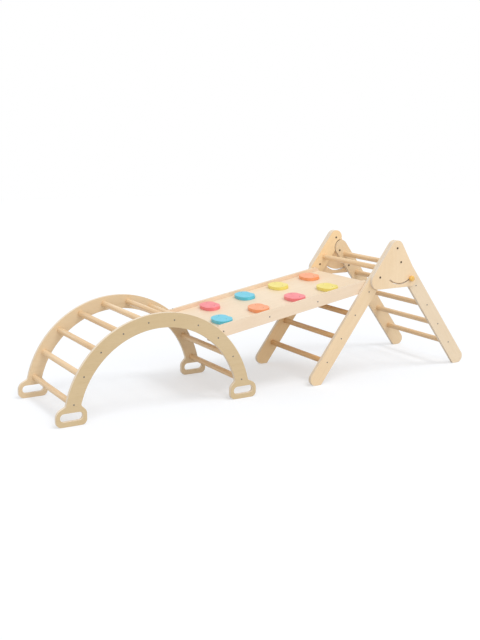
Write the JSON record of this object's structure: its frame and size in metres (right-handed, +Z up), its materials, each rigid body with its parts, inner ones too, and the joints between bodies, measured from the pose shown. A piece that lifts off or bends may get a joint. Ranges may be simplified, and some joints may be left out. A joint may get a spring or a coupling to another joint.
{
  "type": "climbing triangle set",
  "caption": "Wooden indoor climbing set for toddlers: an arch ladder and a folding triangle ladder joined by a hooked-on ramp with coloured climbing holds.",
  "frame": {"origin": "centre of the bounding box on the floor, midway between the outer end of the arch's left foot and the toe of the triangle's rear legs", "axes": "+X runs along the set from the arch to the triangle, +Y across it to the far side, +Z up"},
  "size_m": [2.5202, 0.6352, 0.7554],
  "materials": {
    "pale_plywood": "pale birch plywood, satin varnish",
    "rung_wood": "turned hardwood, satin varnish",
    "dark_steel": "dark zinc plated steel",
    "knob_wood": "amber varnished wood",
    "hold_pink": "pink satin paint",
    "hold_blue": "blue satin paint",
    "hold_yellow": "yellow satin paint",
    "hold_orange": "orange satin paint"
  },
  "bodies": {
    "frame": {"arch_panel_near": "pale_plywood", "arch_panel_far": "pale_plywood", "arch_rung_01": "rung_wood", "arch_rung_02": "rung_wood", "arch_rung_03": "rung_wood", "arch_rung_04": "rung_wood", "arch_rung_05": "rung_wood", "arch_rung_06": "rung_wood", "arch_rung_07": "rung_wood", "arch_rung_08": "rung_wood", "arch_rung_09": "rung_wood", "arch_rung_10": "rung_wood", "front_leg_near": "pale_plywood", "front_leg_far": "pale_plywood", "front_rung_1": "rung_wood", "front_rung_2": "rung_wood", "front_rung_3": "rung_wood", "front_rung_4": "rung_wood", "front_rung_5": "rung_wood", "head_plate_near": "pale_plywood", "head_plate_far": "pale_plywood", "apex_bolt_near": "dark_steel", "apex_bolt_far": "dark_steel", "apex_nut_near": "dark_steel", "apex_nut_far": "dark_steel", "corner_bolt_near": "dark_steel", "corner_bolt_far": "dark_steel", "corner_nut_near": "dark_steel", "corner_nut_far": "dark_steel", "pivot_bolt_near": "dark_steel", "pivot_bolt_far": "dark_steel", "pivot_nut_near": "dark_steel", "pivot_nut_far": "dark_steel"},
    "rear_ladder": {"rear_leg_near": "pale_plywood", "rear_leg_far": "pale_plywood", "rear_rung_1": "rung_wood", "rear_rung_2": "rung_wood", "rear_rung_3": "rung_wood", "rear_rung_4": "rung_wood", "rear_rung_5": "rung_wood", "clamp_bolt_near": "dark_steel", "clamp_bolt_far": "dark_steel"},
    "ramp": {"ramp_board": "pale_plywood", "ramp_rail_near": "pale_plywood", "ramp_rail_far": "pale_plywood", "hold_pink_far": "hold_pink", "hold_blue_far": "hold_blue", "hold_yellow_far": "hold_yellow", "hold_orange_far": "hold_orange", "hold_blue_near": "hold_blue", "hold_orange_near": "hold_orange", "hold_pink_near": "hold_pink", "hold_yellow_near": "hold_yellow"},
    "knob_near": {"clamp_knob_near": "knob_wood"},
    "knob_far": {"clamp_knob_far": "knob_wood"}
  },
  "joints": [
    {"name": "rear_ladder_fold", "type": "hinge", "parent": "frame", "child": "rear_ladder", "pos_m": [0.73151, 0, 0.63444], "axis": [0, 1, 0], "range_deg": [0, 74.1]},
    {"name": "ramp_lift", "type": "slide", "parent": "frame", "child": "ramp", "axis": [-0.1685, 0, 0.9857], "range_m": [0, 0.25]},
    {"name": "knob_near_turn", "type": "hinge", "parent": "rear_ladder", "child": "knob_near", "pos_m": [0.80457, -0.305, 0.53924], "axis": [0, 1, 0], "continuous": true},
    {"name": "knob_far_turn", "type": "hinge", "parent": "rear_ladder", "child": "knob_far", "pos_m": [0.80457, 0.305, 0.53924], "axis": [0, 1, 0], "continuous": true}
  ]
}
